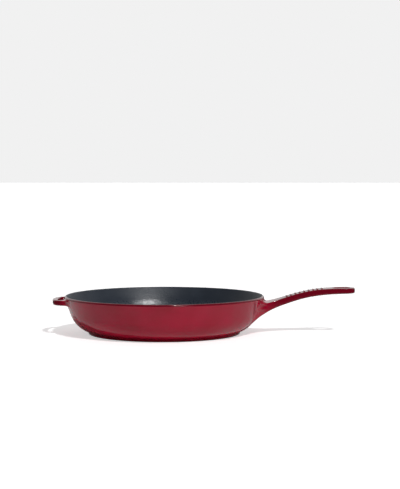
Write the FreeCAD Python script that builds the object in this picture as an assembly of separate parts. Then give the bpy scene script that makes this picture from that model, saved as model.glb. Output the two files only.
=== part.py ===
import FreeCAD, Part
import math
import os

# Enamelled cast iron skillet: one iron casting under fired coats of glass enamel.
# Millimetres, +Z up. The origin is the centre of the ring that the pan stands on,
# and the long handle points along +X.

# Bowl, measured on the outside of the enamel, with the wall's line carried up to the rim's top.
rim_radius = 151.0
rim_height = 57.0
wall_lean = math.radians(20.0)
corner_radius = 42.0
inside_corner_radius = 50.0
wall_thickness = 4.2
rim_outer_rounding = 2.6
rim_inner_rounding = 0.7
rim_coat_height = 0.65

# Standing ring under the base.
foot_outer_radius = 114.0
foot_inner_radius = 105.5
foot_height = 1.6
foot_rounding = 0.7

# Pouring lips at the two sides.
lip_overhang = 1.5
lip_radius = 100.0
lip_lean = math.radians(25.5)
lip_depth = 20.0
lip_blend = 18.0

# Fired coats.
outside_coat = 0.40
inside_coat = 0.35

# Long handle: its upper and lower outline from the side, and half of its plan, wall to tip.
handle_upper = [(118, 46.8), (140, 46.8), (154, 47.0), (166, 49.8), (182, 54.8),
                (202, 60.6), (224, 65.2), (250, 67.7), (292, 68.3)]
handle_lower = [(118, 20), (128, 21), (138, 25), (147, 29.6), (157, 34.8), (184, 45.2),
                (211, 53.3), (240, 58.2), (265, 60.0), (292, 60.3)]
handle_plan = [(118, 44), (142, 32.5), (152, 24.5), (164, 18.2), (180, 14.2), (200, 12.7),
               (225, 13.3), (250, 15.3), (268, 16.4), (278.8, 14.3), (284.8, 8.2), (287, 0)]
handle_rounding = 2.6
handle_root_fillet = 6.5
handle_start = 151.0

# Hole for hanging, a rounded slot near the tip.
hang_hole_middle = 266.5
hang_hole_length = 25.0
hang_hole_width = 14.0
hang_hole_rounding = 1.8

# Raised bars across the top of the grip.
rib_count = 9
rib_first = 184.0
rib_pitch = 6.6
rib_length = 13.0
rib_width = 2.6
rib_height = 1.2
rib_rounding = 1.0
rib_root = 1.0

# Helper handle, a flat loop opposite the long handle: half of its plan, wall to tip.
helper_plan = [(-130, -55), (-143, -43.5), (-150, -37.4), (-156, -33.8),
               (-162.2, -28.0), (-166.4, -15.5), (-168, 0)]
helper_top = 52.0
helper_thickness = 7.8
helper_rounding = 2.2
helper_root_fillet = 2.0
helper_start_radius = 151.9
helper_slot_inner = 151.8
helper_slot_outer = 160.0
helper_slot_half_angle = math.radians(8.2)

corner_height = foot_height + corner_radius
corner_offset = (corner_radius + (rim_height - corner_height) * math.sin(wall_lean)) / math.cos(wall_lean)
corner_centre = rim_radius - corner_offset
lip_centre = rim_radius + lip_overhang - lip_radius
above_rim = rim_height + 20.0
foot_top = corner_height - math.sqrt(corner_radius ** 2 - (foot_outer_radius - corner_centre) ** 2)


def vec(x, y, z):
    return FreeCAD.Vector(x, y, z)


def box(low, high):
    """Solid box from its lowest to its highest corner."""
    size = [b - a for a, b in zip(low, high)]
    return Part.makeBox(*size, vec(*low))


def spline_through(points):
    """Smooth curve through points in space."""
    spline = Part.BSplineCurve()
    spline.interpolate(points)
    return spline


def moved_right(points, distance):
    """Points of a flat outline, each moved to the right of the way that the outline runs."""
    spline = spline_through([vec(a, b, 0) for a, b in points])
    moved = []
    for a, b in points:
        along = spline.tangent(spline.parameter(vec(a, b, 0)))[0]
        moved.append((a + distance * along.y, b - distance * along.x))
    return moved


def plan_slab(half_outline, inset, low, high):
    """Slab between two heights with a handle's outline from above, moved inwards by inset.
    The outline's first half runs from the wall to the tip, with the handle on its right."""
    other_half = [(x, -y) for x, y in reversed(half_outline[:-1])]
    outline = moved_right(half_outline + other_half, inset)
    loop = spline_through([vec(x, y, low) for x, y in outline]).toShape()
    start = Part.makeLine(loop.Vertexes[-1].Point, loop.Vertexes[0].Point)
    return Part.Face(Part.Wire([loop, start])).extrude(vec(0, 0, high - low))


def side_slab(upper, lower, inset, half_width):
    """Slab across a handle's width with its outline from the side, moved inwards by inset."""
    edges = []
    for points, distance in ((upper, inset), (lower, -inset)):
        moved = moved_right(points, distance)
        edges.append(spline_through([vec(x, -half_width, z) for x, z in moved]).toShape())
    ends = [Part.makeLine(edges[0].Vertexes[i].Point, edges[1].Vertexes[i].Point) for i in (0, -1)]
    outline = Part.Wire(Part.sortEdges(edges + ends)[0])
    return Part.Face(outline).extrude(vec(0, 2 * half_width, 0))


def wall_radius(height, inset):
    """Radius of the straight part of the wall at a height, moved inwards by inset."""
    run = (height - corner_height) * math.tan(wall_lean)
    return corner_centre + (corner_radius - inset) / math.cos(wall_lean) + run


def off_wall(point, inset):
    """Distance of a point from the bowl's wall or round corner, moved inwards by inset."""
    radius = math.hypot(point.x, point.y)
    if point.z > corner_height - corner_radius * math.sin(wall_lean):
        return abs(radius - wall_radius(point.z, inset))
    return abs(math.hypot(radius - corner_centre, point.z - corner_height) - (corner_radius - inset))


def lies_on_wall(edge, inset, top):
    """True for an edge below the top whose points are all on the wall or its round corner."""
    first, last = edge.ParameterRange
    points = [edge.valueAt(first + share * (last - first)) for share in (0.1, 0.4, 0.9)]
    return all(foot_top < p.z < top - 0.01 and off_wall(p, inset) < 0.02 for p in points)


def bowl_body(inset, top, radius):
    """Filled bowl: flat bottom, round corner of a radius, straight leaning wall moved inwards by inset."""
    height = foot_height + inset + radius
    centre = wall_radius(height, inset) - radius / math.cos(wall_lean)

    def on_corner(angle):
        return vec(centre + radius * math.cos(angle), 0, height - radius * math.sin(angle))

    bottom = on_corner(math.pi / 2)
    middle = on_corner((math.pi / 2 + wall_lean) / 2)
    tangent = on_corner(wall_lean)
    rim = vec(wall_radius(top, inset), 0, top)
    edges = [
        Part.makeLine(vec(0, 0, bottom.z), bottom),
        Part.Arc(bottom, middle, tangent).toShape(),
        Part.makeLine(tangent, rim),
        Part.makeLine(rim, vec(0, 0, top)),
        Part.makeLine(vec(0, 0, top), vec(0, 0, bottom.z)),
    ]
    body = Part.Face(Part.Wire(edges)).revolve(vec(0, 0, 0), vec(0, 0, 1), 360)
    body.rotate(vec(0, 0, 0), vec(0, 0, 1), 45)
    return body


def lip_body(inset, top, side):
    """Filled cone that swells the wall out into a pouring lip at +Y or -Y."""
    low = rim_height - lip_depth
    shrink = inset / math.cos(lip_lean)
    low_radius = lip_radius - shrink - lip_depth * math.tan(lip_lean)
    top_radius = lip_radius - shrink + (top - rim_height) * math.tan(lip_lean)
    return Part.makeCone(low_radius, top_radius, top - low, vec(0, side * lip_centre, low))


def lipped_body(inset, top, radius):
    """Filled bowl with both lips and a soft valley where each lip leaves the wall."""
    body = bowl_body(inset, top, radius)
    body = body.fuse([lip_body(inset, top, side) for side in (-1, 1)])
    valleys = [edge for edge in body.Edges if lies_on_wall(edge, inset, top) and is_on_lip(edge, inset)]
    return body.makeFillet(lip_blend + inset, valleys)


def is_on_lip(edge, inset):
    """True for an edge whose middle is on the cone of one of the lips."""
    first, last = edge.ParameterRange
    at = edge.valueAt(0.45 * first + 0.55 * last)
    radius = lip_radius - inset / math.cos(lip_lean) - (rim_height - at.z) * math.tan(lip_lean)
    return abs(math.hypot(at.x, abs(at.y) - lip_centre) - radius) < 0.02


def foot_ring(inset):
    """Low ring under the base with rounded lower edges."""
    height = foot_top + 0.6 - inset
    ring = Part.makeCylinder(foot_outer_radius - inset, height, vec(0, 0, inset))
    ring = ring.cut(Part.makeCylinder(foot_inner_radius + inset, height, vec(0, 0, inset)))
    low = [edge for edge in ring.Edges if abs(edge.BoundBox.ZMax - inset) < 0.01]
    return ring.makeFillet(foot_rounding, low)


def hang_hole(inset):
    """Rounded slot through the handle's end, for hanging the pan on a hook."""
    radius = hang_hole_width / 2 + inset
    reach = (hang_hole_length - hang_hole_width) / 2
    slot = box((hang_hole_middle - reach, -radius, 0), (hang_hole_middle + reach, radius, 100))
    ends = [Part.makeCylinder(radius, 100, vec(hang_hole_middle + side * reach, 0, 0)) for side in (-1, 1)]
    return slot.fuse(ends).removeSplitter()


def long_edges(body):
    """Edges that run along or round a handle, without its upright and crosswise ones."""
    return [edge for edge in body.Edges if edge.BoundBox.XLength > 1]


def long_handle(inset):
    """Solid handle with rounded edges and its hanging hole, reaching into the bowl's wall."""
    side = side_slab(handle_upper, handle_lower, inset, 60)
    body = side.common(plan_slab(handle_plan, inset, 0, 100))
    body = body.makeFillet(handle_rounding - inset, long_edges(body))
    pierced = body.cut(hang_hole(inset))
    mouth = [edge for edge in long_edges(pierced) if is_round_hole(edge, inset)]
    return pierced.makeFillet(hang_hole_rounding - inset, mouth)


def is_round_hole(edge, inset):
    """True for an edge on the wall of the hanging hole."""
    reach = (hang_hole_length - hang_hole_width) / 2
    first, last = edge.ParameterRange
    at = edge.valueAt((first + last) / 2)
    beyond = max(0, abs(at.x - hang_hole_middle) - reach)
    return abs(math.hypot(beyond, at.y) - hang_hole_width / 2 - inset) < 0.02


def helper_slot(inset):
    """Curved finger slot that follows the bowl's wall, with round ends."""
    inner = helper_slot_inner - inset
    outer = helper_slot_outer + inset
    middle = (inner + outer) / 2
    spread = math.degrees(helper_slot_half_angle)
    sector = []
    for radius in (outer, inner):
        pie = Part.makeCylinder(radius, 100, vec(0, 0, 0), vec(0, 0, 1), 2 * spread)
        pie.rotate(vec(0, 0, 0), vec(0, 0, 1), 180 - spread)
        sector.append(pie)
    slot = sector[0].cut(sector[1])
    for side in (-1, 1):
        angle = math.pi + side * helper_slot_half_angle
        at = vec(middle * math.cos(angle), middle * math.sin(angle), 0)
        slot = slot.fuse(Part.makeCylinder((outer - inner) / 2, 100, at))
    return slot


def helper_handle(inset):
    """Flat loop with rounded edges, reaching into the bowl's wall."""
    low = helper_top - helper_thickness + inset
    body = plan_slab(helper_plan, inset, low, helper_top - inset).cut(helper_slot(inset))
    flat = [edge for edge in long_edges(body) if edge.BoundBox.ZLength < 0.01]
    return body.makeFillet(helper_rounding - inset, flat)


def filled_pan(inset):
    """Bowl without its hollow, with both handles blended into the wall and the ring below."""
    top = rim_height - inset
    bowl = lipped_body(inset, top, corner_radius - inset)
    rim = [edge for edge in bowl.Edges if lies_level(edge, top)]
    bowl = bowl.makeFillet(rim_outer_rounding - inset, rim)
    body = bowl.fuse([long_handle(inset), helper_handle(inset)])
    for side, fillet in ((1, handle_root_fillet), (-1, helper_root_fillet)):
        roots = [edge for edge in body.Edges if lies_on_wall(edge, inset, top) and is_root(edge, side)]
        body = body.makeFillet(fillet + inset, roots)
    return body.fuse(foot_ring(inset))


def is_root(edge, side):
    """True for an edge near the end of the bowl that carries the handle on that side."""
    bounds = edge.BoundBox
    return min(side * bounds.XMin, side * bounds.XMax) > 0.8 * rim_radius


def lies_level(edge, height):
    """True for an edge that lies level at a height."""
    bounds = edge.BoundBox
    return max(abs(bounds.ZMin - height), abs(bounds.ZMax - height)) < 0.01


def hollow_pan(inset, hollow_inset, inner_rounding):
    """Pan with its hollow cut out and the inner edge of its rim rounded."""
    hollow = lipped_body(hollow_inset, above_rim, inside_corner_radius + wall_thickness - hollow_inset)
    body = filled_pan(inset).cut(hollow)
    level = [edge for edge in body.Edges if lies_level(edge, rim_height - inset)]
    return body.makeFillet(inner_rounding, [edge for edge in level if edge.distToShape(hollow)[0] < 0.01])


def rib_at(distance):
    """Rounded bar across the handle, laid on its upper outline at a distance along X."""
    upper = spline_through([vec(x, 0, z) for x, z in handle_upper])
    at = upper.parameter(vec(distance, 0, rim_height))
    along = upper.tangent(at)[0]
    half = (rib_width / 2, rib_length / 2)
    bar = box((-half[0], -half[1], -rib_root), (half[0], half[1], rib_height))
    crown = [edge for edge in bar.Edges if edge.BoundBox.ZMax > rib_height - 0.01]
    bar = bar.makeFillet(rib_rounding, crown)
    bar.rotate(vec(0, 0, 0), vec(0, -1, 0), math.degrees(math.atan2(along.z, along.x)))
    bar.translate(upper.value(at))
    return bar


def handle_grip_ribs(envelope):
    """Row of raised bars standing on the enamel of the long handle."""
    bars = [rib_at(rib_first + rib_pitch * i).cut(envelope) for i in range(rib_count)]
    return Part.makeCompound(bars)


def nodes():
    """Every piece of the pan by name."""
    far = 400.0
    envelope = hollow_pan(0, wall_thickness, rim_inner_rounding)
    casting = hollow_pan(outside_coat, wall_thickness - inside_coat, rim_inner_rounding - inside_coat)
    handle_zone = box((handle_start, -far, -far), (far, far, far))
    helper_zone = box((-far, -far, -far), (-0.5 * rim_radius, far, far))
    helper_zone = helper_zone.cut(Part.makeCylinder(helper_start_radius, 2 * far, vec(0, 0, -far)))
    rim_zone = Part.makeCylinder(1.06 * rim_radius, far, vec(0, 0, rim_height - rim_coat_height))
    base_zone = box((-far, -far, -far), (far, far, foot_top - 0.2))

    coats = envelope.cut(casting)
    rim_coat = coats.common(rim_zone)
    inner_coat, outer_coat = sorted(coats.cut(rim_zone).Solids, key=lambda solid: solid.Volume)
    return {
        "iron_bowl": casting.cut([handle_zone, helper_zone]),
        "iron_handle": casting.common(handle_zone),
        "iron_helper_handle": casting.common(helper_zone),
        "bowl_outside_enamel": outer_coat.cut([handle_zone, helper_zone, base_zone]),
        "base_enamel": outer_coat.common(base_zone),
        "handle_enamel": outer_coat.common(handle_zone),
        "helper_handle_enamel": outer_coat.common(helper_zone),
        "cooking_surface_enamel": inner_coat,
        "rim_enamel": rim_coat,
        "handle_grip_ribs": handle_grip_ribs(envelope),
    }


os.makedirs("parts", exist_ok=True)
for name, shape in nodes().items():
    shape.exportStep(f"parts/{name}.step")
    print(name, len(shape.Solids), "solid", round(shape.Volume), "mm3", "valid" if shape.isValid() else "INVALID")
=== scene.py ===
import math

import bpy
import numpy as np
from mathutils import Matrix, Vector


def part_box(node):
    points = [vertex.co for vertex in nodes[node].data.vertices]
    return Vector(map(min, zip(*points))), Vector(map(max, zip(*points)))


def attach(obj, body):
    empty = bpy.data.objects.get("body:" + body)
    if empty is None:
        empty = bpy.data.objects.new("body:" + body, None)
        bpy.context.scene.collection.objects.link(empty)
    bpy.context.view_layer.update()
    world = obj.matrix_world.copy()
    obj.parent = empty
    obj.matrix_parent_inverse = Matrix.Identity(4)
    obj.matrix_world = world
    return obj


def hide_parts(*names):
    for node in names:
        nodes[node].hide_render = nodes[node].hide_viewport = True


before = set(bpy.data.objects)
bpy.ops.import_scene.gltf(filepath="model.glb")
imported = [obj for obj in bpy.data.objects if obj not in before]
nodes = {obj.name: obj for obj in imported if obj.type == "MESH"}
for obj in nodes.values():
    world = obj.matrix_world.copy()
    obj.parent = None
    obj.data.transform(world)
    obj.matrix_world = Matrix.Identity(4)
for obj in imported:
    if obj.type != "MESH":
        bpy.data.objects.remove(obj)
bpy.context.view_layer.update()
scene = bpy.context.scene


# ---------------------------------------------------------------- materials

class Shader:
    """A material's node tree, built a node at a time."""

    def __init__(self, name):
        self.material = bpy.data.materials.new(name)
        self.material.use_nodes = True
        self.tree = self.material.node_tree
        self.bsdf = self.tree.nodes["Principled BSDF"]
        self.place = self.node("ShaderNodeTexCoord").outputs["Object"]

    def node(self, kind, **values):
        made = self.tree.nodes.new(kind)
        for key, value in values.items():
            setattr(made, key, value)
        return made

    def link(self, source, target):
        self.tree.links.new(source, target)

    def noise(self, scale, detail=3.0, roughness=0.5):
        made = self.node("ShaderNodeTexNoise")
        made.inputs["Scale"].default_value = scale
        made.inputs["Detail"].default_value = detail
        made.inputs["Roughness"].default_value = roughness
        self.link(self.place, made.inputs["Vector"])
        return made.outputs["Fac"]

    def place_along(self, axis):
        """The place along one axis, in metres."""
        split = self.node("ShaderNodeSeparateXYZ")
        self.link(self.place, split.inputs[0])
        return split.outputs[axis]

    def cells(self, scale, smooth=0.6):
        made = self.node("ShaderNodeTexVoronoi", feature="SMOOTH_F1")
        made.inputs["Scale"].default_value = scale
        made.inputs["Smoothness"].default_value = smooth
        self.link(self.place, made.inputs["Vector"])
        return made.outputs["Distance"]

    def remap(self, value, low, high, to_low, to_high):
        made = self.node("ShaderNodeMapRange", interpolation_type="SMOOTHSTEP")
        made.inputs["From Min"].default_value = low
        made.inputs["From Max"].default_value = high
        made.inputs["To Min"].default_value = to_low
        made.inputs["To Max"].default_value = to_high
        self.link(value, made.inputs["Value"])
        return made.outputs["Result"]

    def mixed(self, share, low, high):
        made = self.node("ShaderNodeMix", data_type="RGBA")
        for name, colour in (("A", low), ("B", high)):
            socket = [s for s in made.inputs if s.name == name and s.type == "RGBA"][0]
            if isinstance(colour, tuple):
                socket.default_value = (*colour, 1.0)
            else:
                self.link(colour, socket)
        self.link(share, made.inputs["Factor"])
        return [s for s in made.outputs if s.type == "RGBA"][0]

    def bump(self, height, depth, strength=1.0, after=None):
        made = self.node("ShaderNodeBump")
        made.inputs["Distance"].default_value = depth
        made.inputs["Strength"].default_value = strength
        self.link(height, made.inputs["Height"])
        if after:
            self.link(after, made.inputs["Normal"])
        return made.outputs["Normal"]

    def set(self, **values):
        for key, value in values.items():
            socket = self.bsdf.inputs[key.replace("_", " ")]
            if hasattr(value, "is_linked"):
                self.link(value, socket)
            else:
                socket.default_value = (*value, 1.0) if isinstance(value, tuple) else value


def red_enamel(name, shade, shade_from=None, along=None):
    """Glossy red glass enamel over cast iron: deep colour that varies a little and a faint orange peel.
    Painted shade darkens it above the height shade_from, on the rim's outer rounding, and scales it by the
    shade, beyond the span along X where one is given and all over where none is."""
    shader = Shader(name)
    cloud = shader.remap(shader.noise(28.0, 4.0), 0.3, 0.7, 0.0, 1.0)
    fine = shader.remap(shader.noise(900.0, 2.0), 0.62, 0.75, 0.0, 0.4)
    # Painted shade: without a span along X the whole colour is scaled by the shade.
    whole = 1.0 if along else shade
    low, high, speck = [tuple(whole * part for part in colour) for colour in
                        ((0.42, 0.0015, 0.027), (0.49, 0.0022, 0.035), (0.30, 0.0008, 0.018))]
    colour = shader.mixed(fine, shader.mixed(cloud, low, high), speck)
    # Painted shade: beyond the span along X the colour is darkened by the shade.
    if along:
        start, end = along
        place = shader.place_along("X")
        far = shader.remap(place, min(along), max(along), float(start > end), float(start < end))
        colour = shader.mixed(far, colour, (0.45 * shade, 0.0012 * shade, 0.028 * shade))
    # Painted shade: the rim's outer rounding is darkened above this height.
    if shade_from:
        rim_shade = shader.remap(shader.place_along("Z"), shade_from, shade_from + 0.0012, 0.0, 0.8)
        colour = shader.mixed(rim_shade, colour, (0.10, 0.0005, 0.007))
    peel = shader.bump(shader.noise(210.0, 2.0, 0.4), 0.00005, 0.5)
    flow = shader.bump(shader.noise(22.0, 1.0, 0.4), 0.0009, 0.35, peel)
    gloss = shader.remap(shader.noise(60.0, 3.0), 0.3, 0.7, 0.045, 0.085)
    shader.set(Base_Color=colour, Roughness=gloss, Normal=flow, IOR=1.5)
    return shader.material


def black_enamel():
    """Satin black enamel with a pebbled skin of about a millimetre, duller from the dull band up."""
    dull_band = (0.034, 0.050)
    shader = Shader("black_enamel_satin")
    cloud = shader.remap(shader.noise(40.0, 4.0), 0.3, 0.7, 0.0, 1.0)
    colour = shader.mixed(cloud, (0.0310, 0.0400, 0.0560), (0.0390, 0.0490, 0.0670))
    pebble = shader.bump(shader.cells(560.0), 0.00026, 0.75)
    grain = shader.bump(shader.noise(1500.0, 2.0), 0.00003, 0.5, pebble)
    dull = shader.remap(shader.place_along("Z"), *dull_band, 0.0, 0.17)
    gloss = shader.node("ShaderNodeMath", operation="ADD")
    shader.link(shader.remap(shader.noise(420.0, 3.0), 0.3, 0.7, 0.25, 0.32), gloss.inputs[0])
    shader.link(dull, gloss.inputs[1])
    shader.set(Base_Color=colour, Roughness=gloss.outputs[0], Normal=grain, IOR=1.5)
    return shader.material


def cast_iron():
    """Bare cast iron as it leaves the sand: dark grey, coarse and dull."""
    shader = Shader("cast_iron_raw")
    cloud = shader.remap(shader.noise(90.0, 5.0), 0.3, 0.7, 0.0, 1.0)
    colour = shader.mixed(cloud, (0.030, 0.030, 0.031), (0.062, 0.060, 0.059))
    sand = shader.bump(shader.noise(1100.0, 4.0, 0.6), 0.00012, 0.8)
    gloss = shader.remap(shader.noise(240.0, 3.0), 0.3, 0.7, 0.52, 0.72)
    shader.set(Base_Color=colour, Roughness=gloss, Normal=sand, Metallic=0.85)
    return shader.material


# Painted shade: the wall's copy darkens the rim's outer rounding above 53.6 mm.
red = red_enamel("red_enamel_wall", 1.0, 0.0536)
# Painted shade: the base is a copy of the wall's red darkened to 0.8.
base_red_painted_shade = red_enamel("red_enamel_base_painted_shade", 0.8)
# Painted shade: the handle copies turn darker, to 0.46 of the wall's red, beyond their roots.
handle_red_painted_shade = red_enamel("red_enamel_handle_painted_shade", 0.46, along=(0.138, 0.176))
helper_red_painted_shade = red_enamel("red_enamel_helper_painted_shade", 0.46, along=(-0.146, -0.156))
black = black_enamel()
iron = cast_iron()
for name in ("iron_bowl", "iron_handle", "iron_helper_handle"):
    mesh = nodes[name].data
    mesh.materials.clear()
    mesh.materials.append(iron)


# ---------------------------------------------------------------- shapes, in millimetres

def low_high(name):
    """Lowest and highest corner of a CAD node, in millimetres."""
    return [np.array(corner) * 1000.0 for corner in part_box(name)]


# Bowl: its height and foot come from the CAD, its width, slopes and roundings repeat it.
rim_top = low_high("rim_enamel")[1][2]
foot_outer = low_high("base_enamel")[1][0]
foot_inner = foot_outer - 8.5
rim_radius = 151.0
foot_lift = 1.6
foot_rounding = 0.9
wall_lean = math.radians(20.0)
corner_radius = 42.0
inside_corner = 50.0
wall_thickness = 4.2
outer_rounding = 2.6
inner_rounding = 0.9
crest_turn = math.radians(78)
lip_radius = 100.0
lip_overhang = 1.5
lip_lean = math.radians(25.5)
lip_blend = 0.5
coat = 0.36
inside_coat = 0.33
rim_coat = 0.3
round_steps = 420

corner_height = foot_lift + corner_radius
corner_offset = corner_radius + (rim_top - corner_height) * math.sin(wall_lean)
corner_centre = rim_radius - corner_offset / math.cos(wall_lean)
lip_centre = rim_radius + lip_overhang - lip_radius


def soft_max(a, b, width):
    """The larger of two values, with a soft change where they are within width of each other."""
    share = np.clip(0.5 + 0.5 * (a - b) / width, 0, 1)
    return b + (a - b) * share + width * share * (1 - share)


def plain_wall_reach(z, inset):
    """Radius of the straight wall at a height, moved inwards by inset."""
    seat = corner_centre + (corner_radius - inset) / math.cos(wall_lean)
    return seat + (z - corner_height) * math.tan(wall_lean)


def wall_reach(angle, z, inset):
    """Radius of the wall or its pouring lip at an angle and height, moved inwards by inset."""
    wall = plain_wall_reach(z, inset)
    cone = lip_radius - inset / math.cos(lip_lean) - (rim_top - z) * math.tan(lip_lean)
    inside = cone ** 2 - (lip_centre * np.cos(angle)) ** 2
    lip = lip_centre * np.abs(np.sin(angle)) + np.sqrt(np.maximum(inside, 0))
    lip = np.where((inside > 0) & (cone > 0), lip, 0.0)
    return np.where(lip > wall - lip_blend, soft_max(wall, lip, lip_blend), wall)


def ring_of_points(angles, radius, z):
    radius = np.broadcast_to(radius, angles.shape)
    return np.column_stack([radius * np.cos(angles), radius * np.sin(angles), np.full(angles.shape, z)])


def lathe(name, rings):
    """Closed skin over a loop of rings that all have the same number of points."""
    count = len(rings)
    points = np.concatenate(rings)
    steps = len(rings[0])
    faces = []
    for i in range(count):
        a, b = i * steps, (i + 1) % count * steps
        faces += [(a + k, a + (k + 1) % steps, b + (k + 1) % steps, b + k) for k in range(steps)]
    return new_mesh(name, points, faces)


def new_mesh(name, points, faces, normals=None):
    mesh = bpy.data.meshes.new(name)
    mesh.from_pydata((np.asarray(points) * 0.001).tolist(), [], faces)
    mesh.polygons.foreach_set("use_smooth", [True] * len(mesh.polygons))
    if normals is not None:
        mesh.normals_split_custom_set_from_vertices(normals.tolist())
    mesh.validate()
    made = bpy.data.objects.new(name, mesh)
    scene.collection.objects.link(made)
    return made


# ---------------------------------------------------------------- shapes with blends, from distances

def spline(points, per_span=26):
    """Natural cubic through points, as a dense line."""
    knots = np.asarray(points, float)
    t = np.concatenate([[0], np.cumsum(np.linalg.norm(np.diff(knots, axis=0), axis=1))])
    n = len(t)
    h = np.diff(t)
    left = np.eye(n)
    right = np.zeros((n, knots.shape[1]))
    for i in range(1, n - 1):
        left[i, i - 1:i + 2] = h[i - 1], 2 * (h[i - 1] + h[i]), h[i]
        right[i] = 6 * ((knots[i + 1] - knots[i]) / h[i] - (knots[i] - knots[i - 1]) / h[i - 1])
    bend = np.linalg.solve(left, right)
    line = []
    for i in range(n - 1):
        for s in np.linspace(0, h[i], per_span, endpoint=False):
            r = h[i] - s
            line.append((bend[i] * r ** 3 + bend[i + 1] * s ** 3) / (6 * h[i])
                        + (knots[i] / h[i] - bend[i] * h[i] / 6) * r
                        + (knots[i + 1] / h[i] - bend[i + 1] * h[i] / 6) * s)
    line.append(knots[-1])
    return np.array(line)


class FlatShape:
    """Signed distance to a closed flat outline, kept on a fine grid."""

    def __init__(self, outline, margin=14.0, step=0.4):
        self.low = outline.min(0) - margin
        self.step = step
        size = np.ceil((outline.max(0) + margin - self.low) / step).astype(int) + 1
        u = self.low[0] + step * np.arange(size[0])
        v = self.low[1] + step * np.arange(size[1])
        at = np.stack(np.meshgrid(u, v, indexing="ij"), -1).reshape(-1, 2)
        start, run = outline, np.roll(outline, -1, 0) - outline
        best = np.full(len(at), 1e9)
        crossed = np.zeros(len(at), bool)
        for a, d in zip(start, run):
            gap = at - a
            share = np.clip((gap @ d) / max(d @ d, 1e-12), 0, 1)
            off = gap - share[:, None] * d
            best = np.minimum(best, (off ** 2).sum(1))
            if d[1] != 0:
                between = (at[:, 1] >= min(a[1], a[1] + d[1])) & (at[:, 1] < max(a[1], a[1] + d[1]))
                crossed ^= between & (at[:, 0] < a[0] + (at[:, 1] - a[1]) * d[0] / d[1])
        self.grid = (np.sqrt(best) * np.where(crossed, -1, 1)).reshape(size)

    def __call__(self, u, v):
        a = np.clip((u - self.low[0]) / self.step, 0, self.grid.shape[0] - 1.001)
        b = np.clip((v - self.low[1]) / self.step, 0, self.grid.shape[1] - 1.001)
        i, j = a.astype(int), b.astype(int)
        a, b = a - i, b - j
        g = self.grid
        return ((1 - a) * (1 - b) * g[i, j] + a * (1 - b) * g[i + 1, j]
                + (1 - a) * b * g[i, j + 1] + a * b * g[i + 1, j + 1])


def both(a, b, rounding):
    """Distance to what two shapes share, with its edge rounded."""
    a, b = a + rounding, b + rounding
    return np.hypot(np.maximum(a, 0), np.maximum(b, 0)) + np.minimum(np.maximum(a, b), 0) - rounding


def joined(a, b, fillet, lean=0.0):
    """Distance to two shapes together, with a round fillet.
    The lean is the cosine between their outward directions."""
    u, v = fillet - a, fillet - b
    ball = fillet - np.sqrt((u * u + v * v - 2 * lean * u * v) / (1 - lean ** 2))
    return np.where((u > lean * v) & (v > lean * u), ball, np.minimum(a, b))


def wall_distance(p):
    """Signed distance to the bowl's wall and round corner, as if they had no end."""
    x, y, z = p.T
    r = np.hypot(x, y)
    along = (r - corner_centre) * math.sin(wall_lean) + (z - corner_height) * math.cos(wall_lean)
    straight = corner_centre + corner_radius / math.cos(wall_lean) + (z - corner_height) * math.tan(wall_lean)
    return np.where(along > 0, (r - straight) * math.cos(wall_lean),
                    np.hypot(r - corner_centre, z - corner_height) - corner_radius)


def bowl_distance(p):
    """Signed distance to the filled bowl with its rounded rim, away from the pouring lips."""
    middle = rim_top - outer_rounding
    out = np.hypot(p[:, 0], p[:, 1]) - wall_reach(0.0, middle, 0) + outer_rounding / math.cos(wall_lean)
    up = p[:, 2] - middle
    rounded = (out > 0) & (out * math.sin(wall_lean) + up * math.cos(wall_lean) > 0)
    plain = np.maximum(wall_distance(p), p[:, 2] - rim_top)
    return np.where(rounded, np.hypot(out, up) - outer_rounding, plain)


def skin(feature, host, fillet, depth, reach, core=None, sink=0.02, lean=None):
    """Distance to a feature that grows out of a host with a fillet.
    Its skirt lies just under the host's surface."""
    def distance(p):
        a, b = feature(p), host(p)
        radius = fillet(p) if callable(fillet) else fillet
        grown = joined(a, b + sink, radius, lean(p) if lean else 0.0)
        deep = b if core is None else core(p)
        return np.maximum(np.maximum(grown, -(deep + depth)), a - reach)
    return distance


EDGES = [((0, 0, 0), (1, 0, 0)), ((0, 1, 0), (1, 1, 0)), ((0, 0, 1), (1, 0, 1)), ((0, 1, 1), (1, 1, 1)),
         ((0, 0, 0), (0, 1, 0)), ((1, 0, 0), (1, 1, 0)), ((0, 0, 1), (0, 1, 1)), ((1, 0, 1), (1, 1, 1)),
         ((0, 0, 0), (0, 0, 1)), ((1, 0, 0), (1, 0, 1)), ((0, 1, 0), (0, 1, 1)), ((1, 1, 0), (1, 1, 1))]


def slope(distance, p, step=0.05):
    sides = []
    for axis in range(3):
        shift = np.zeros(3)
        shift[axis] = step
        sides.append((distance(p + shift) - distance(p - shift)) / (2 * step))
    return np.column_stack(sides)


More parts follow.
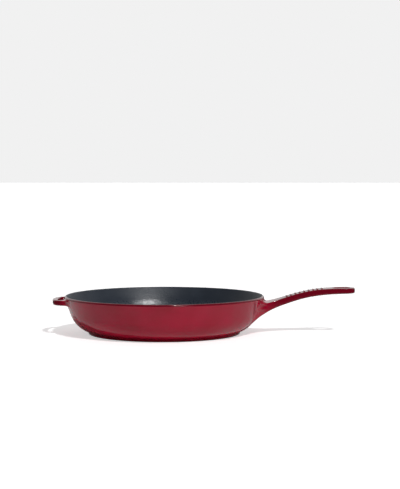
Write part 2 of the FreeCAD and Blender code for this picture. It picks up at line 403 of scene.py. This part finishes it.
def surface(distance, low, high, step):
    """Points, faces and normals of the surface where a distance is zero."""
    low = np.array(low, float)
    count = np.ceil((np.array(high) - low) / step).astype(int) + 1
    grid = np.stack(np.meshgrid(*[low[i] + step * np.arange(count[i]) for i in range(3)], indexing="ij"), -1)
    value = distance(grid.reshape(-1, 3)).reshape(count)
    inside = value < 0
    total = np.zeros((*(count - 1), 3))
    hits = np.zeros(count - 1)

    def corner(array, offset):
        return array[tuple(slice(o, o + n - 1) for o, n in zip(offset, count))]

    for start, end in EDGES:
        a, b = corner(value, start), corner(value, end)
        cut = (a < 0) != (b < 0)
        share = np.where(cut, a / np.where(cut, a - b, 1), 0)
        for axis in range(3):
            total[..., axis] += cut * (start[axis] + share * (end[axis] - start[axis]))
        hits += cut
    active = hits > 0
    index = np.full(active.shape, -1)
    index[active] = np.arange(active.sum())
    cells = np.argwhere(active)
    points = low + step * (cells + total[active] / hits[active][:, None])
    faces = []
    for axis in range(3):
        u, v = (axis + 1) % 3, (axis + 2) % 3
        head = [slice(None)] * 3
        tail = [slice(None)] * 3
        head[axis], tail[axis] = slice(1, None), slice(None, -1)
        flips = np.argwhere(inside[tuple(head)] != inside[tuple(tail)])
        whole = (flips[:, u] > 0) & (flips[:, v] > 0)
        whole &= (flips[:, u] < count[u] - 1) & (flips[:, v] < count[v] - 1)
        flips = flips[whole]
        ring = []
        for du, dv in ((-1, -1), (0, -1), (0, 0), (-1, 0)):
            cell = flips.copy()
            cell[:, u] += du
            cell[:, v] += dv
            ring.append(index[tuple(cell.T)])
        ring = np.column_stack(ring)
        outward = inside[tuple(flips.T)]
        faces.append(np.where(outward[:, None], ring, ring[:, ::-1]))
    for _ in range(4):
        lean = slope(distance, points)
        size = np.maximum((lean ** 2).sum(1), 0.2)
        move = np.clip(distance(points) / size, -0.5 * step, 0.5 * step)
        points = points - move[:, None] * lean
    normals = slope(distance, points)
    normals /= np.maximum(np.linalg.norm(normals, axis=1), 1e-9)[:, None]
    return points, np.concatenate(faces), normals


def shell(name, distance, low, high, step, thickness=None):
    """Mesh of a surface, with an inner face parallel to it where the piece is a coat."""
    points, faces, normals = surface(distance, low, high, step)
    if thickness:
        faces = np.concatenate([faces, faces[:, ::-1] + len(points)])
        points = np.concatenate([points, points - thickness * normals])
        normals = np.concatenate([normals, -normals])
    return new_mesh(name, points, faces.tolist(), normals)


# ---------------------------------------------------------------- pieces

def keep(piece, node):
    """Puts a finished piece in place of its CAD node."""
    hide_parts(node)
    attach(piece, "root")
    return piece


def rounded_line(corners, steps=9):
    """Dense flat line through (x, z, rounding) corners."""
    line = []
    for i, (x, z, rounding) in enumerate(corners):
        here = np.array([x, z])
        if rounding == 0:
            line.append(here)
            continue
        before = np.array(corners[i - 1][:2]) - here
        after = np.array(corners[i + 1][:2]) - here
        before /= np.linalg.norm(before)
        after /= np.linalg.norm(after)
        half = 0.5 * math.acos(float(before @ after))
        start, end = rounding / math.tan(half) * before, rounding / math.tan(half) * after
        for t in np.linspace(0, 1, steps):
            line.append(here + (1 - t) ** 2 * start + t ** 2 * end)
    return np.array(line)


def set_in(line, distance):
    """A flat line moved to its left."""
    run = np.gradient(line, axis=0)
    run /= np.linalg.norm(run, axis=1)[:, None]
    return line + distance * np.column_stack([-run[:, 1], run[:, 0]])


turns = np.linspace(0, 2 * math.pi, round_steps, endpoint=False)
arc_low = corner_height - math.sqrt(corner_radius ** 2 - (foot_outer - corner_centre) ** 2)


def arc_turn(r, inset):
    return math.acos((r - corner_centre) / (corner_radius - inset))


def outside_rings(inset):
    """Rings of the red coat from the foot, round the corner and up to the rim's crest."""
    start = arc_turn(foot_outer + 1.2, inset)
    first = np.array([corner_centre + (corner_radius - inset) * math.cos(start),
                      corner_height - (corner_radius - inset) * math.sin(start)])
    foot = np.array([foot_outer - inset, arc_low + inset])
    low = foot - (0, 1.6)
    rings = []
    for t in np.linspace(0, 1, 8, endpoint=False):
        r, z = (1 - t) ** 2 * low + 2 * t * (1 - t) * foot + t ** 2 * first
        rings.append(ring_of_points(turns, r, z))
    for turn in np.linspace(start, wall_lean, 34):
        r = corner_centre + (corner_radius - inset) * math.cos(turn)
        z = corner_height - (corner_radius - inset) * math.sin(turn)
        rings.append(ring_of_points(turns, lipped(r, z, inset), z))
    tangent = corner_height - (corner_radius - inset) * math.sin(wall_lean)
    seat = rim_top - outer_rounding
    top = seat - (outer_rounding - inset) * math.sin(wall_lean)
    for z in np.linspace(tangent, top, 22)[1:-1]:
        rings.append(ring_of_points(turns, wall_reach(turns, z, inset), z))
    return rings + rim_rings(turns, inset, outer_rounding - inset, -wall_lean, crest_turn, 16, 1)


def lipped(r, z, inset):
    """Radius at each turn, pushed out where the pouring lip stands proud of the wall."""
    return r + np.maximum(wall_reach(turns, z, inset) - plain_wall_reach(z, inset), 0)


def crest_rings(cover):
    """Rings over the rim's crest, from the edge of the red coat to the inner wall."""
    outer = rim_rings(turns, cover, outer_rounding - cover, crest_turn, math.pi / 2, 4, 1)
    inner = rim_rings(turns, wall_thickness - cover, inner_rounding - cover, math.pi / 2, wall_lean, 8, -1)
    return outer + inner


def rim_rings(angles, inset, rounding, first, last, steps, side):
    """Rings round the rim's outer (side 1) or inner (side -1) edge, between two angles from level."""
    cover = inset if side == 1 else wall_thickness - inset
    middle = rim_top - cover - rounding
    reach = wall_reach(angles if side == 1 else 0.0, middle, inset)
    seat = reach - side * rounding / math.cos(wall_lean)
    rings = []
    for turn in np.linspace(first, last, steps):
        r = seat + side * rounding * math.cos(turn)
        rings.append(ring_of_points(angles, r, middle + rounding * math.sin(turn)))
    return rings


def inside_rings(inset):
    """Rings of the cooking surface from the rim down the inner wall and across the floor."""
    middle = rim_top - inner_rounding
    top = middle + inner_rounding * math.sin(wall_lean)
    radius = inside_corner + wall_thickness - inset
    height = foot_lift + inset + radius
    centre = wall_reach(0.0, height, inset) - radius / math.cos(wall_lean)
    rings = []
    for z in np.linspace(top, height - radius * math.sin(wall_lean), 18):
        rings.append(ring_of_points(turns, wall_reach(0.0, z, inset), z))
    for turn in np.linspace(wall_lean, math.pi / 2, 36)[1:]:
        r, z = centre + radius * math.cos(turn), height - radius * math.sin(turn)
        rings.append(ring_of_points(turns, r, z))
    floor = height - radius
    for r in np.linspace(centre, 0, 24)[1:-1]:
        rings.append(ring_of_points(turns, r, floor))
    rings.append(ring_of_points(turns, 0.02, floor))
    return rings


outside = lathe("red_outside_coat", outside_rings(0) + outside_rings(coat)[::-1])
keep(outside, "bowl_outside_enamel").data.materials.append(red)
crest = lathe("rim_crest_coat", crest_rings(0) + crest_rings(rim_coat)[::-1])
keep(crest, "rim_enamel").data.materials.append(black)
inside_back = inside_rings(wall_thickness - inside_coat)[::-1]
inside = lathe("black_cooking_surface", inside_rings(wall_thickness) + inside_back)
keep(inside, "cooking_surface_enamel").data.materials.append(black)

foot_line = rounded_line([
    (0.02, foot_lift, 0), (foot_inner - 4, foot_lift, 0), (foot_inner, foot_lift, 0.8),
    (foot_inner, 0, foot_rounding), (foot_outer, 0, foot_rounding), (foot_outer, arc_low - 1.6, 0)])
foot_rings = [ring_of_points(turns, r, z) for r, z in foot_line]
foot_back = [ring_of_points(turns, max(r, 0.02), z) for r, z in set_in(foot_line, coat)]
base = lathe("red_base_and_standing_ring", foot_rings + foot_back[::-1])
keep(base, "base_enamel").data.materials.append(base_red_painted_shade)

# Long handle: outline from the side and half of its plan, from the wall to the tip.
handle_tip = low_high("handle_enamel")[1][0]
handle_upper = [(118, 46.8), (140, 46.8), (154, 47.0), (166, 49.8), (182, 54.8),
                (202, 60.6), (224, 65.2), (250, 67.7), (292, 68.3)]
handle_lower = [(118, 20), (128, 21), (138, 25), (147, 29.6), (157, 34.8), (184, 45.2), (211, 53.3),
                (240, 58.2), (265, 60.0), (292, 60.3)]
handle_plan = [(118, 44), (142, 32.5), (152, 24.5), (164, 18.2), (180, 14.2), (200, 12.7),
               (225, 13.3), (250, 15.3), (268, 16.4), (278.8, 14.3), (284.8, 8.2), (handle_tip, 0)]
handle_edge = 1.8
skirt_depth = 2.0
hole_middle, hole_reach, hole_radius, hole_edge = 266.5, 5.5, 7.0, 2.0

upper_line = spline(handle_upper)
handle_side = FlatShape(np.concatenate([upper_line, spline(handle_lower)[::-1]]))
half = handle_plan + [(x, -y) for x, y in handle_plan[-2::-1]]
handle_top = FlatShape(spline(half))


def handle_distance(p):
    x, y, z = p.T
    bar = both(handle_side(x, z), handle_top(x, y), handle_edge)
    hole = np.hypot(np.maximum(np.abs(x - hole_middle) - hole_reach, 0), y) - hole_radius
    return both(bar, -hole, hole_edge)


def root_fillet(p):
    """Fillet where the handle leaves the wall: wide at its flanks, small below and under the rim."""
    return np.interp(p[:, 2], [28.0, 38.0, 46.5], [7.0, 11.0, 6.8])


def root_lean(p):
    """Cosine between the outward directions of the wall and the handle, whose flat top the wall overhangs."""
    return -math.sin(wall_lean) * np.interp(p[:, 2], [43.0, 46.8], [0.0, 1.0])


handle_skin = skin(handle_distance, bowl_distance, root_fillet, skirt_depth, 13.5, wall_distance,
                   lean=root_lean)
handle = shell("red_handle_coat", handle_skin,
               (104, -60, 2), (handle_tip + 2, 60, rim_top + 14), 0.9, coat)
keep(handle, "handle_enamel").data.materials.append(handle_red_painted_shade)

# Helper handle: a flat loop with a curved finger slot.
helper_low, helper_high = low_high("helper_handle_enamel")
helper_plan = [(-130, -55), (-143, -43.5), (-150, -37.4), (-156, -33.8),
               (-162.2, -28.0), (-166.4, -15.5), (helper_low[0], 0)]
slot_inner, slot_outer, slot_spread = 151.8, 160.0, math.radians(8.2)
helper_edge, slot_edge = 1.7, 1.8
half = helper_plan + [(x, -y) for x, y in helper_plan[-2::-1]]
helper_top = FlatShape(spline(half))


def helper_distance(p):
    x, y, z = p.T
    middle = 0.5 * (helper_low[2] + helper_high[2])
    slab = both(np.abs(z - middle) - 0.5 * (helper_high[2] - helper_low[2]), helper_top(x, y), helper_edge)
    turn = np.clip(np.arctan2(y, -x), -slot_spread, slot_spread)
    ring = 0.5 * (slot_inner + slot_outer)
    slot = np.hypot(x + ring * np.cos(turn), y - ring * np.sin(turn)) - 0.5 * (slot_outer - slot_inner)
    return both(slab, -slot, slot_edge)


helper_skin = skin(helper_distance, bowl_distance, 3.5, skirt_depth, 6.0, wall_distance)
helper = shell("red_helper_handle_coat", helper_skin,
               (helper_low[0] - 2, -62, 34), (-128, 62, rim_top + 2), 0.8, coat)
keep(helper, "helper_handle_enamel").data.materials.append(helper_red_painted_shade)

# Raised bars across the grip.
rib_first, rib_pitch, rib_count = 184.0, 6.6, 9
rib_half, rib_rounding = (1.3, 6.5, 1.2), 1.0


def ribs_distance(p):
    best = np.full(len(p), 1e3)
    for i in range(rib_count):
        x = rib_first + rib_pitch * i
        k = int(np.argmin(np.abs(upper_line[:, 0] - x)))
        run = upper_line[k + 1] - upper_line[k - 1]
        run /= np.linalg.norm(run)
        gap = p[:, [0, 2]] - upper_line[k]
        local = np.column_stack([gap @ run, p[:, 1], gap @ (-run[1], run[0])])
        off = np.abs(local) - np.array(rib_half) + rib_rounding
        bar = np.linalg.norm(np.maximum(off, 0), axis=1) + np.minimum(off.max(1), 0) - rib_rounding
        best = np.minimum(best, bar)
    return best


ribs = shell("grip_ribs", skin(ribs_distance, handle_distance, 0.7, 0.9, 1.0, sink=0.012),
             (rib_first - 4, -9, 50), (rib_first + rib_pitch * rib_count, 9, 70), 0.36)
keep(ribs, "handle_grip_ribs").data.materials.append(handle_red_painted_shade)


# ---------------------------------------------------------------- stage, light, camera

def floor_material():
    material = bpy.data.materials.new("pale_floor")
    material.use_nodes = True
    tree = material.node_tree
    tree.nodes.clear()
    out = tree.nodes.new("ShaderNodeOutputMaterial")
    path = tree.nodes.new("ShaderNodeLightPath")
    mix = tree.nodes.new("ShaderNodeMixShader")
    seen = tree.nodes.new("ShaderNodeAddShader")
    glow = tree.nodes.new("ShaderNodeEmission")
    glow.inputs["Strength"].default_value = 0.55
    lit = tree.nodes.new("ShaderNodeBsdfDiffuse")
    lit.inputs["Color"].default_value = (0.80, 0.80, 0.80, 1)
    other = tree.nodes.new("ShaderNodeBsdfDiffuse")
    place = tree.nodes.new("ShaderNodeNewGeometry")
    far = tree.nodes.new("ShaderNodeVectorMath")
    far.operation = "LENGTH"
    # Painted shade: for all but camera rays the floor darkens from 0.85 near the pan to 0.06 beyond 0.6 m.
    floor_reflection_shade = tree.nodes.new("ShaderNodeMapRange")
    for key, value in (("From Min", 0.32), ("From Max", 0.60), ("To Min", 0.85), ("To Max", 0.06)):
        floor_reflection_shade.inputs[key].default_value = value
    tree.links.new(place.outputs["Position"], far.inputs[0])
    tree.links.new(far.outputs["Value"], floor_reflection_shade.inputs["Value"])
    tree.links.new(floor_reflection_shade.outputs["Result"], other.inputs["Color"])
    tree.links.new(glow.outputs[0], seen.inputs[0])
    tree.links.new(lit.outputs[0], seen.inputs[1])
    tree.links.new(path.outputs["Is Camera Ray"], mix.inputs[0])
    tree.links.new(other.outputs[0], mix.inputs[1])
    tree.links.new(seen.outputs[0], mix.inputs[2])
    tree.links.new(mix.outputs[0], out.inputs["Surface"])
    return material


def add_floor():
    bpy.ops.mesh.primitive_plane_add(size=60.0, location=(0, 0, 0))
    floor = bpy.context.object
    floor.name = "floor"
    floor.data.materials.append(floor_material())


def add_world():
    """Even pale room that is brighter towards the backdrop behind the object."""
    world = bpy.data.worlds.new("studio")
    scene.world = world
    world.use_nodes = True
    tree = world.node_tree
    tree.nodes.clear()
    out = tree.nodes.new("ShaderNodeOutputWorld")
    path = tree.nodes.new("ShaderNodeLightPath")
    place = tree.nodes.new("ShaderNodeTexCoord")
    split = tree.nodes.new("ShaderNodeSeparateXYZ")
    depth = tree.nodes.new("ShaderNodeMapRange")
    for key, value in (("From Min", -0.1), ("From Max", 0.9), ("To Min", 0.07), ("To Max", 0.9)):
        depth.inputs[key].default_value = value
    tree.links.new(place.outputs["Generated"], split.inputs[0])
    tree.links.new(split.outputs["Y"], depth.inputs["Value"])
    room = tree.nodes.new("ShaderNodeBackground")
    tree.links.new(depth.outputs["Result"], room.inputs["Strength"])
    seen = tree.nodes.new("ShaderNodeBackground")
    seen.inputs["Strength"].default_value = 1.1
    mix = tree.nodes.new("ShaderNodeMixShader")
    tree.links.new(path.outputs["Is Camera Ray"], mix.inputs[0])
    tree.links.new(room.outputs[0], mix.inputs[1])
    tree.links.new(seen.outputs[0], mix.inputs[2])
    tree.links.new(mix.outputs[0], out.inputs["Surface"])


def polar(azimuth, elevation, distance):
    """Place at an azimuth from the camera's side (to its right is positive) and an elevation."""
    a, e = math.radians(azimuth), math.radians(elevation)
    return Vector((math.sin(a) * math.cos(e), -math.cos(a) * math.cos(e), math.sin(e))) * distance


def add_key(azimuth, elevation):
    """The studio's key lamp, far enough away to cast parallel light."""
    sun = bpy.data.lights.new("key", "SUN")
    sun.energy = 0.6 * math.pi
    sun.angle = math.radians(4.0)
    lamp = bpy.data.objects.new("key", sun)
    scene.collection.objects.link(lamp)
    lamp.rotation_euler = (-polar(azimuth, elevation, 1.0)).to_track_quat("-Z", "Y").to_euler()


def softbox(name, azimuth, elevation, distance, width, height, power, aim=(0, 0, 0.04)):
    light = bpy.data.lights.new(name, "AREA")
    light.shape = "RECTANGLE"
    light.size = width
    light.size_y = height
    light.energy = power
    lamp = bpy.data.objects.new(name, light)
    scene.collection.objects.link(lamp)
    lamp.location = polar(azimuth, elevation, distance) + Vector(aim)
    lamp.rotation_euler = (Vector(aim) - lamp.location).to_track_quat("-Z", "Y").to_euler()
    return lamp


def add_camera():
    camera = bpy.data.objects.new("camera", bpy.data.cameras.new("camera"))
    scene.collection.objects.link(camera)
    camera.data.sensor_fit = "VERTICAL"
    camera.data.sensor_height = 36.0
    camera.data.lens = 98.0
    camera.data.clip_end = 100.0
    camera.location = (0.0537, -2.0, 0.2411)
    camera.rotation_euler = (math.pi / 2 - 0.0538, 0, 0)
    scene.camera = camera


add_floor()
add_world()
add_key(27.5, 48.0)
softbox("front", 22, 31, 2.6, 1.1, 0.35, 1.5)
add_camera()
scene.view_settings.view_transform = "Standard"
